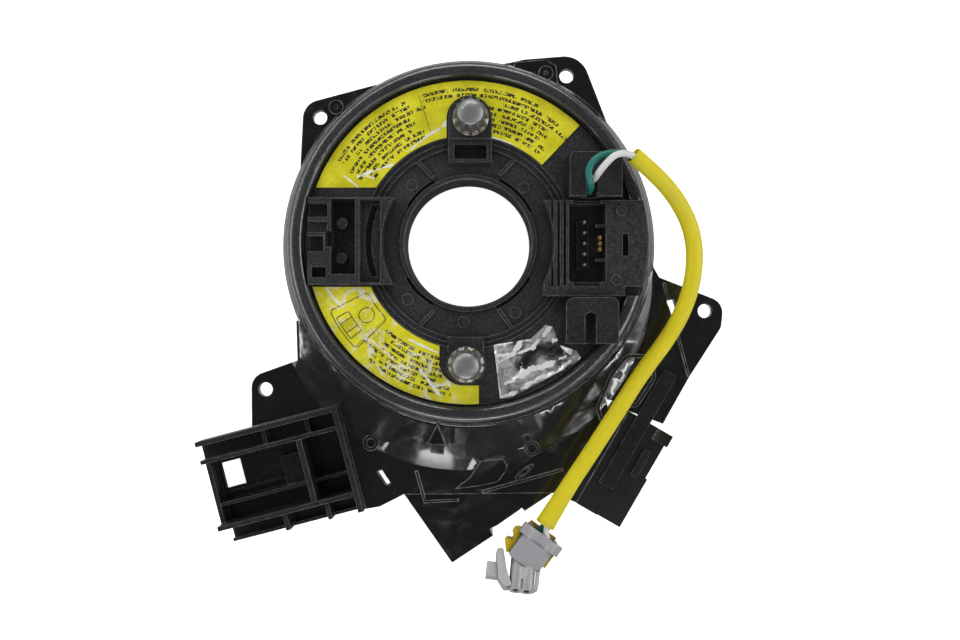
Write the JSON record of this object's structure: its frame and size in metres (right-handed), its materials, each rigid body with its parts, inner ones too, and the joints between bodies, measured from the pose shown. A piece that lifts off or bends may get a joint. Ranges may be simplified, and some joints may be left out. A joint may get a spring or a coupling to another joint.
{
  "type": "steering clock spring",
  "caption": "Steering clock spring: a winding cassette with a turning rotor, eared stator, stalk switch bays, driving pegs and a sleeved two-wire lead with a plug.",
  "frame": {"origin": "bore axis on the back plane, where the column side rests", "axes": "+Z along the bore axis towards the steering wheel, +Y up, +X right"},
  "size_m": [0.1695, 0.1695, 0.0491],
  "materials": {
    "black_gloss": "moulded, glossy",
    "black_satin": "moulded, satin",
    "black_matte": "moulded, fine texture",
    "grey_plastic": "moulded, smooth",
    "light_grey_plastic": "moulded, smooth",
    "yellow_plastic": "moulded, smooth",
    "yellow_label": "printed film, slightly creased",
    "clear_film": "clear creased film",
    "ribbon_film": "smooth film",
    "yellow_sleeve": "soft, slightly shiny",
    "green_wire": "smooth",
    "white_wire": "smooth",
    "tin": "tinned",
    "gold": "gold plated"
  },
  "bodies": {
    "stator": {"stator_housing": "black_gloss", "back_cover": "black_satin", "left_stalk_bay": "black_matte", "right_stalk_bay": "black_matte", "column_header": "black_matte", "column_pins": "tin", "ribbon_cable": "ribbon_film", "outer_terminal": "black_matte"},
    "rotor": {"hub_sleeve": "black_satin", "rotor_cover": "black_satin", "left_socket": "black_satin", "right_socket": "black_satin", "pin_strip": "black_matte", "socket_pins": "tin", "contact_blades": "gold", "upper_wire_cap": "black_matte", "lower_wire_cap": "black_matte", "upper_peg": "grey_plastic", "lower_peg": "grey_plastic", "upper_label": "yellow_label", "lower_label": "yellow_label", "clear_film": "clear_film", "green_wire": "green_wire", "white_wire": "white_wire", "lead_sleeve": "yellow_sleeve", "plug_body": "light_grey_plastic", "plug_contacts": "tin", "inner_terminal": "black_matte"},
    "lock": {"plug_lock": "yellow_plastic"}
  },
  "joints": [
    {"name": "rotor_turn", "type": "hinge", "parent": "stator", "child": "rotor", "pos_m": [0, 0, 0], "axis": [0, 0, 1], "range_deg": [-1080, 1080], "deforming": ["ribbon_cable"]},
    {"name": "lock_slide", "type": "slide", "parent": "rotor", "child": "lock", "axis": [0.5878, 0.809, 0], "range_m": [0, 0.0025]}
  ]
}
